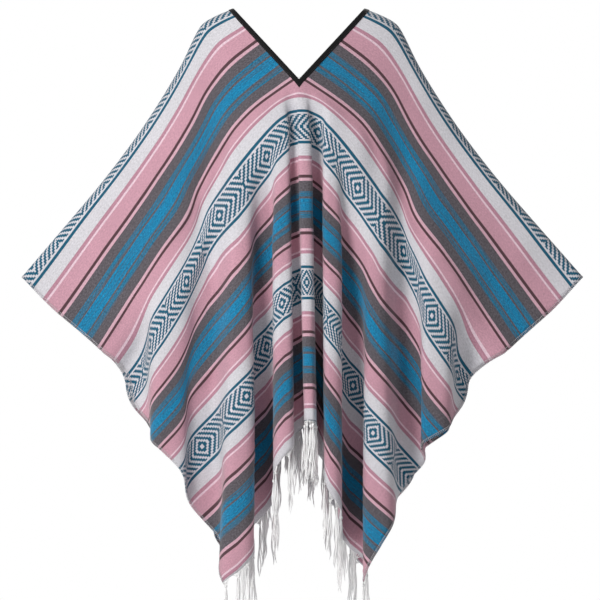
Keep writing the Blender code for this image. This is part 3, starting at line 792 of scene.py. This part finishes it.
def build_cloth(finish):
    """A flat grid, slit along its middle and set to where it hangs, with the flat places as UVs."""
    columns = column_places()
    rows = row_places()
    last_column = len(columns) - 1
    last_row = len(rows) - 1
    slit_row = FOLD_ROWS - 1 + YOKE_ROWS
    panels = {(face, side): panel_points(columns, rows, face, side)
              for face in ("front", "back") for side in (-1, 1)}
    bm = bmesh.new()
    bmesh.ops.create_grid(bm, x_segments=2 * last_column, y_segments=2 * last_row, size=1.0)
    flat = bm.loops.layers.uv.new("flat")
    motif = bm.loops.layers.uv.new("motif")
    for face in bm.faces:
        side = 1 if face.calc_center_median().x > 0 else -1
        for loop in face.loops:
            across = columns[abs(round(loop.vert.co.x * last_column))]
            row = round(loop.vert.co.y * last_row)
            along = math.copysign(stripe_place(across, rows[abs(row)]), row)
            band = min(2, int(abs(along) / REPEAT + 0.5))
            loop[flat].uv = (side * across, along)
            from_eye = (across - EYE_PLACES[side][band]) * EYE_SPACING / EYE_SPACINGS[side][band]
            loop[motif].uv = (from_eye + 4 * EYE_SPACING, along)
    slit = [edge for edge in bm.edges
            if all(abs(vert.co.x) * last_column < 0.5 and abs(vert.co.y) * last_row < slit_row + 0.5
                   for vert in edge.verts)]
    bmesh.ops.split_edges(bm, edges=slit)
    hung = []
    for vert in bm.verts:
        column = round(vert.co.x * last_column)
        row = round(vert.co.y * last_row)
        lean = column or sum(face.calc_center_median().x for face in vert.link_faces)
        panel = panels["front" if row <= 0 else "back", 1 if lean > 0 else -1]
        hung.append(panel[abs(row), abs(column)])
    for vert, point in zip(bm.verts, hung):
        vert.co = point
    bmesh.ops.recalc_face_normals(bm, faces=bm.faces)
    cloth = new_piece(mesh_of("woven_serape", bm), finish)
    wall = cloth.modifiers.new("wall", "SOLIDIFY")
    wall.thickness = CLOTH_THICKNESS
    wall.offset = 0.0
    return cloth


def joined_tubes(name, paths, finish, sides=6):
    """One mesh of many tubes. A path is its points, and the radius at each of them."""
    turn = 2.0 * math.pi * np.arange(sides) / sides
    verts, faces, base = [], [], 0
    for points, radii in paths:
        points = np.asarray(points, float)
        count = len(points)
        radii = np.broadcast_to(np.asarray(radii, float), (count,))
        ahead = unit(np.gradient(points, axis=0))
        guide = np.where(np.abs(ahead[:, 1:2]) < 0.9, [[0.0, 1.0, 0.0]], [[1.0, 0.0, 0.0]])
        first = unit(np.cross(ahead, guide))
        second = np.cross(ahead, first)
        ring = (first[:, None, :] * np.cos(turn)[None, :, None]
                + second[:, None, :] * np.sin(turn)[None, :, None]) * radii[:, None, None]
        verts.append((points[:, None, :] + ring).reshape(-1, 3))
        for here in range(base, base + (count - 1) * sides, sides):
            for j in range(sides):
                k = (j + 1) % sides
                faces.append((here + j, here + k, here + sides + k, here + sides + j))
        faces.append(tuple(range(base + sides - 1, base - 1, -1)))
        faces.append(tuple(range(base + (count - 1) * sides, base + count * sides)))
        base += count * sides
    mesh = bpy.data.meshes.new(name)
    mesh.from_pydata(np.concatenate(verts).tolist(), [], faces)
    return new_piece(mesh, finish)


# Fringe: bundles of loose warp ends, sparser away from the middle, and clear of the folds below them
MIDDLE_SPACING = 0.0150
SIDE_SPACING = 0.0290
SPARSE_FROM = 0.08
SPARSER_OVER = 0.08
FIRST_BUNDLE_IN = 0.005
LAST_BUNDLE_IN = 0.004
FREE_OF_FOLDS = 0.006
LOWER_BY = 0.004
BESIDE_BY = 0.012
HEM_PLACES = 240
HEM_STEP = 0.004

# The threads that are drawn from inside the hem into a bundle's knot
THREADS_IN_BUNDLE = 5
THREAD_SPREAD = 0.2
THREAD_ROOT = 0.0012
THREAD_BOW = 0.05
THREAD_RADII = (0.00075, 0.0009, 0.0011)

# The knot, turned about the way it hangs: its places along it and its widths there, in radii
KNOT_DROP = 0.0085
KNOT_RADIUS = 0.0026
KNOT_STRAY = 0.0006
KNOT_PLACES = (-1.2, -0.7, 0.0, 0.8, 1.4)
KNOT_WIDTHS = (0.45, 0.9, 1.0, 0.8, 0.5)

# The loose locks under the knot: sways and waves are given across and in depth
FRINGE_LENGTH = 0.102
LOCKS_IN_BUNDLE = 3
LOCK_RADIUS = 0.00125
LOCK_POINTS = 13
LOCK_SPREAD = 0.0017
LOCK_STAGGER = 0.0012
SHARED_SWAY = 0.0022
LOCK_SWAYS = (0.0024, 0.0014)
LOCK_WAVES = (8.0, 6.0)
LOCK_PLACES = (0.0, 0.08, 0.5, 0.9, 1.0)
LOCK_WIDTHS = (0.6, 0.95, 1.1, 0.9, 0.25)


def hem_line(face):
    """Places across the cloth, and the hem's points there with the ways down and through the cloth."""
    half = np.linspace(0.0, CLOTH_HALF_WIDTH, HEM_PLACES)
    runs = []
    for side in (-1, 1):
        edge = drape_half(half, CLOTH_HALF_LENGTH, face, side)
        down = unit(edge - drape_half(half, CLOTH_HALF_LENGTH - HEM_STEP, face, side))
        through = unit(np.cross(side * np.gradient(edge, axis=0), down))
        runs.append((side * half, edge, down, through))
    left, right = runs
    return tuple(np.concatenate((a[::-1], b[1:])) for a, b in zip(left, right))


def at_hem(line, u):
    """The point, the way down and the way through the cloth at one place on the hem."""
    return [points_at(u, line[0], part) for part in line[1:]]


def hangs_clear(line, u, root):
    """Whether a strand can drop straight from its root without meeting a lower part of the hem."""
    lower = (line[1][:, 2] < root[2] - LOWER_BY) & (np.abs(line[0] - u) > BESIDE_BY)
    if not lower.any():
        return True
    return np.min(np.linalg.norm(line[1][lower][:, :2] - root[:2], axis=1)) > FREE_OF_FOLDS


def lock_path(pick, number, shared, top, way_out):
    """One loose lock of a bundle, waving as it hangs: its points, and the radius at each."""
    t = np.linspace(0.0, 1.0, LOCK_POINTS)
    reach = FRINGE_LENGTH * pick.uniform(0.72, 1.0)
    aside = (number - (LOCKS_IN_BUNDLE - 1) / 2) * LOCK_SPREAD * pick.uniform(0.6, 1.3)
    wave = pick.uniform(0.6, 1.5)
    phase = pick.uniform(0.0, 6.28)
    sway_x = aside * np.minimum(t * 5.0, 1.0 + 0.6 * t) + SHARED_SWAY * shared * t * t
    sway_x += LOCK_SWAYS[0] * t * np.sin(wave * LOCK_WAVES[0] * t + phase)
    sway_y = LOCK_SWAYS[1] * t * np.sin(wave * LOCK_WAVES[1] * t + phase * 1.7)
    sway_y += way_out * LOCK_STAGGER * (number % 2)
    points = top + np.stack([sway_x, sway_y, -reach * t], axis=1)
    radius = LOCK_RADIUS * pick.uniform(0.8, 1.2)
    return points, radius * np.interp(t, LOCK_PLACES, LOCK_WIDTHS)


def build_fringe(face, finish, seed):
    """Every bundle's drawn threads, knot and loose locks, joined into one mesh."""
    pick = random.Random(seed)
    line = hem_line(face)
    paths = []
    u = FIRST_BUNDLE_IN - CLOTH_HALF_WIDTH
    while u < CLOTH_HALF_WIDTH - LAST_BUNDLE_IN:
        spacing = np.interp(abs(u), (SPARSE_FROM, SPARSE_FROM + SPARSER_OVER), (MIDDLE_SPACING, SIDE_SPACING))
        root, down, through = at_hem(line, u)
        hang = unit(down * 0.5 + np.array([0.0, 0.0, -0.5]))
        knot = root + hang * KNOT_DROP * pick.uniform(0.85, 1.25)
        knot = knot + through * pick.uniform(-KNOT_STRAY, KNOT_STRAY)
        if hangs_clear(line, u, root):
            for k in range(THREADS_IN_BUNDLE):
                aside = (k - THREADS_IN_BUNDLE // 2) * spacing * THREAD_SPREAD
                start = at_hem(line, u + aside)[0] - down * THREAD_ROOT
                middle = (start + knot) / 2 + (start - knot) * THREAD_BOW
                paths.append(([start, middle, knot], THREAD_RADII))
            tie = [knot + hang * KNOT_RADIUS * t for t in KNOT_PLACES]
            paths.append((tie, np.array(KNOT_WIDTHS) * KNOT_RADIUS * pick.uniform(0.85, 1.15)))
            shared = pick.uniform(-1.0, 1.0)
            for k in range(LOCKS_IN_BUNDLE):
                paths.append(lock_path(pick, k, shared, knot + hang * KNOT_RADIUS, WAY_OUT[face]))
        u += spacing * pick.uniform(0.9, 1.1)
    return joined_tubes("fringe_yarn_" + face, paths, finish)


# Tape: a rounded channel over the slit's edge, with a row of stitches along each face
TAPE_ROWS_MM = (0, 5, 10, 15, 20, 26, 34, 46, 60, 76, 92, 108, 124, 140, 156, 172, 185)
TAPE_INSIDE = CLOTH_THICKNESS / 2 + 0.0002
TAPE_OUTSIDE = TAPE_INSIDE + TAPE_THICKNESS
SHARP_FROM_DEGREES = 50
STITCH_IN_FROM_EDGE = 0.0016
STITCH_LENGTH = 0.0024
STITCH_PITCH = 0.0036
STITCH_RADII = (0.000168, 0.00028, 0.000168)


def tape_stations():
    """Slit edge points, the points a tape's width into the cloth, and which turn about a slit end."""
    stations = []
    for side, order in ((-1, (("back", -1), ("front", 1))), (1, (("front", -1), ("back", 1)))):
        for face, direction in order:
            for v in TAPE_ROWS_MM[::direction]:
                if v > 0 or direction == -1:
                    stations.append((*drape_half([0.0, TAPE_WIDTH], v * MM, face, side), False))
            if direction == 1:
                tip = place(0.0, SLIT_HALF_LENGTH, face, side)
                for inside in (place(TAPE_WIDTH, SLIT_HALF_LENGTH, face, side),
                               place(0.0, SLIT_HALF_LENGTH + MITRE_REACH, face, side),
                               place(TAPE_WIDTH, SLIT_HALF_LENGTH, face, -side)):
                    stations.append((tip, inside, True))
    return stations


def tape_outline(width):
    """The channel's section, edges rounded: how far into the cloth, and how far out of it."""
    wrap = -(SEAM_GAP + TAPE_THICKNESS)
    half = [(width, TAPE_INSIDE), (width + 0.0003, (TAPE_INSIDE + TAPE_OUTSIDE) / 2),
            (width, TAPE_OUTSIDE - 0.0002), (width - 0.0008, TAPE_OUTSIDE),
            (width * 0.3, TAPE_OUTSIDE + 0.0002), (0.0, TAPE_OUTSIDE),
            (wrap * 0.75, TAPE_OUTSIDE * 0.72), (wrap, TAPE_OUTSIDE * 0.3)]
    other = [(a, -b) for a, b in half[::-1]]
    return half + other + [(-SEAM_GAP, -TAPE_INSIDE), (-SEAM_GAP, TAPE_INSIDE)]


def tape_frames():
    """At each station: the edge, the ways into and out of the cloth, the tape's width, and if it turns."""
    stations = tape_stations()
    count = len(stations)

    def next_edge(i, step):
        edge = stations[i][0]
        others = (stations[j % count][0] for j in range(i + step, i + 5 * step, step))
        return next(other for other in others if np.linalg.norm(other - edge) > 1e-6)

    frames = []
    for i, (edge, inside, turning) in enumerate(stations):
        ahead = unit(next_edge(i, 1) - next_edge(i, -1))
        into = unit(inside - edge)
        frames.append((edge, into, unit(np.cross(ahead, into)), np.linalg.norm(inside - edge), turning))
    return frames


def build_tape(finish):
    """The bound edge: the channel's section at every station, joined all the way round the slit."""
    bm = bmesh.new()
    rings = [[bm.verts.new(edge + into * a + normal * b) for a, b in tape_outline(width)]
             for edge, into, normal, width, _ in tape_frames()]
    size = len(rings[0])
    for here, there in zip(rings, rings[1:] + rings[:1]):
        for j in range(size):
            k = (j + 1) % size
            bm.faces.new((here[j], here[k], there[k], there[j]))
    bmesh.ops.remove_doubles(bm, verts=bm.verts, dist=0.00001)
    bmesh.ops.recalc_face_normals(bm, faces=bm.faces)
    tape = new_piece(mesh_of("neck_tape", bm), finish)
    tape.data.set_sharp_from_angle(angle=math.radians(SHARP_FROM_DEGREES))
    return tape


def build_stitches(finish):
    """Short raised stitches near the tape's inner edge, on both its faces."""
    paths = []
    for out in (TAPE_OUTSIDE, -TAPE_OUTSIDE):
        line = [edge + into * (width - STITCH_IN_FROM_EDGE) + normal * out
                for edge, into, normal, width, turning in tape_frames() if not turning]
        line = np.array(line + line[:1])
        measure = measured_along(line)
        for start in np.arange(0.0, measure[-1] - STITCH_LENGTH, STITCH_PITCH):
            ends = [start, start + STITCH_LENGTH / 2, start + STITCH_LENGTH]
            paths.append((points_at(ends, measure, line), STITCH_RADII))
    return joined_tubes("tape_stitches", paths, finish, sides=5)


# Overlock: a thread wound over each side edge, with a chain of thread inside it on both faces
OVERLOCK_PITCH = 0.0034
OVERLOCK_REACH = 0.0042
OVERLOCK_RADIUS = 0.00042
OVERLOCK_POINTS = 8
OVERLOCK_ENDS_IN = 0.001
EDGE_STEP = 0.004
CHAIN_IN = OVERLOCK_REACH - 0.0004
CHAIN_RADIUS = OVERLOCK_RADIUS * 0.9
CHAIN_EVERY = 3


def build_overlock(side, finish):
    """The looping thread along one side edge, from the front hem over the arm to the back hem."""
    line, inwards = [], []
    rows = row_places()
    for face, order in (("front", rows[::-1]), ("back", rows[1:])):
        for v in order:
            inside, edge = drape_half([CLOTH_HALF_WIDTH - EDGE_STEP, CLOTH_HALF_WIDTH], v, face, side)
            line.append(edge)
            inwards.append(unit(inside - edge))
    line = np.array(line)
    inwards = np.array(inwards)
    normals = unit(np.cross(np.gradient(line, axis=0), inwards))
    measure = measured_along(line)
    turns = int(measure[-1] / OVERLOCK_PITCH)
    at = np.linspace(OVERLOCK_ENDS_IN, measure[-1] - OVERLOCK_ENDS_IN, turns * OVERLOCK_POINTS)
    angle = 2.0 * math.pi * np.arange(len(at)) / OVERLOCK_POINTS
    edge, into, out = (points_at(at, measure, part) for part in (line, inwards, normals))
    thick = CLOTH_THICKNESS / 2 + OVERLOCK_RADIUS
    inset = OVERLOCK_REACH / 2 - thick / 2 - np.cos(angle) * OVERLOCK_REACH / 2
    paths = [(edge + into * inset[:, None] + out * (np.sin(angle) * thick)[:, None], OVERLOCK_RADIUS)]
    for way in (1.0, -1.0):
        chain = edge + into * CHAIN_IN + out * way * thick
        paths.append((chain[::CHAIN_EVERY], CHAIN_RADIUS))
    name = "overlock_" + ("right" if side < 0 else "left")
    return joined_tubes(name, paths, finish, sides=5)


# Floor, surround and lights: a light's name, its place, its aim, its width, its power and its colour
FLOOR_SIZE = 7.0
FLOOR_BELOW_SOLIDS = 0.10
FLOOR_COLOUR = (0.93, 0.93, 0.93, 1.0)
WHITE = (1.0, 1.0, 1.0, 1.0)
AMBIENT_COLOUR = (0.97, 0.98, 1.0, 1.0)
AMBIENT_STRENGTH = 0.24
LIGHTS = (
    ("key", (-2.6, -3.4, 1.6), (0.0, 0.0, -0.5), 1.6, 182.0, (1.0, 0.99, 0.97)),
    ("fill", (3.0, -4.0, 0.2), (0.0, 0.0, -0.6), 2.5, 10.0, (1.0, 1.0, 1.0)),
    ("rear", (0.8, 4.0, 1.8), (0.0, 0.0, -0.5), 2.0, 90.0, (1.0, 1.0, 1.0)),
)


def area_light(name, place_at, aim, size, power, colour):
    light = bpy.data.lights.new(name, "AREA")
    light.shape = "DISK"
    light.size = size
    light.energy = power
    light.color = colour
    lamp = bpy.data.objects.new(name, light)
    lamp.location = place_at
    x, y, z = np.array(aim) - np.array(place_at)
    lamp.rotation_euler = (math.atan2(math.hypot(x, y), -z), 0.0, math.atan2(-x, y))
    bpy.context.scene.collection.objects.link(lamp)


def build_surround():
    """White where the camera sees past the garment, and a softer light on the garment itself."""
    world = bpy.data.worlds.new("white_surround")
    world.use_nodes = True
    tree = world.node_tree
    tree.nodes.clear()
    which = tree.nodes.new("ShaderNodeLightPath")
    blend = tree.nodes.new("ShaderNodeMixShader")
    output = tree.nodes.new("ShaderNodeOutputWorld")
    tree.links.new(which.outputs["Is Camera Ray"], blend.inputs[0])
    for i, (colour, strength) in enumerate(((AMBIENT_COLOUR, AMBIENT_STRENGTH), (WHITE, 1.0)), 1):
        background = tree.nodes.new("ShaderNodeBackground")
        background.inputs["Color"].default_value = colour
        background.inputs["Strength"].default_value = strength
        tree.links.new(background.outputs[0], blend.inputs[i])
    tree.links.new(blend.outputs[0], output.inputs[0])
    bpy.context.scene.world = world


def build_stage():
    """A pale floor under the fringe, a white surround, and soft light from the upper left."""
    bpy.ops.mesh.primitive_plane_add(size=FLOOR_SIZE, location=(0.0, 0.0, cad_box[0][2] - FLOOR_BELOW_SOLIDS))
    floor = bpy.context.object
    floor.name = "floor"
    make = Nodes("pale_floor", 0.9)
    make.set(FLOOR_COLOUR, "Base Color")
    floor.data.materials.append(make.material)
    build_surround()
    for light in LIGHTS:
        area_light(*light)
    bpy.context.scene.view_settings.view_transform = "Standard"


def build_camera():
    """Level, far off and long in the lens, with the photograph's scale and framing."""
    middle = PHOTO_PIXELS / 2
    camera = bpy.data.cameras.new("camera")
    camera.sensor_width = SENSOR_MM
    camera.lens = SENSOR_MM * CAMERA_DISTANCE / (PHOTO_PIXELS * METRES_PER_PIXEL)
    camera.clip_end = CLIP_END
    view = bpy.data.objects.new("camera", camera)
    view.location = ((middle - ORIGIN_PIXEL[0]) * METRES_PER_PIXEL, PICTURE_PLANE_Y - CAMERA_DISTANCE,
                     -(middle - ORIGIN_PIXEL[1]) * METRES_PER_PIXEL)
    view.rotation_euler = (math.pi / 2, 0.0, 0.0)
    bpy.context.scene.collection.objects.link(view)
    bpy.context.scene.camera = view


yarn = yarn_material("white_yarn", (240, 239, 241), (254, 254, 254))
edge_thread = yarn_material("overlock_thread", (120, 116, 124), (226, 222, 226))
stitch_thread = yarn_material("black_thread", (24, 24, 26), (60, 58, 62))
cloth = build_cloth(woven_material())
tape = build_tape(tape_material())
stitches = build_stitches(stitch_thread)
fringes = [build_fringe(face, yarn, seed) for face, seed in (("front", 11), ("back", 12))]
overlocks = [build_overlock(side, edge_thread) for side in (-1, 1)]

for piece in (cloth, tape, stitches, *fringes, *overlocks):
    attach(piece, "root")
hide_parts("serape_cloth")
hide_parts("neck_binding")
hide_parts("fringe_front")
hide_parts("fringe_back")

build_stage()
build_camera()
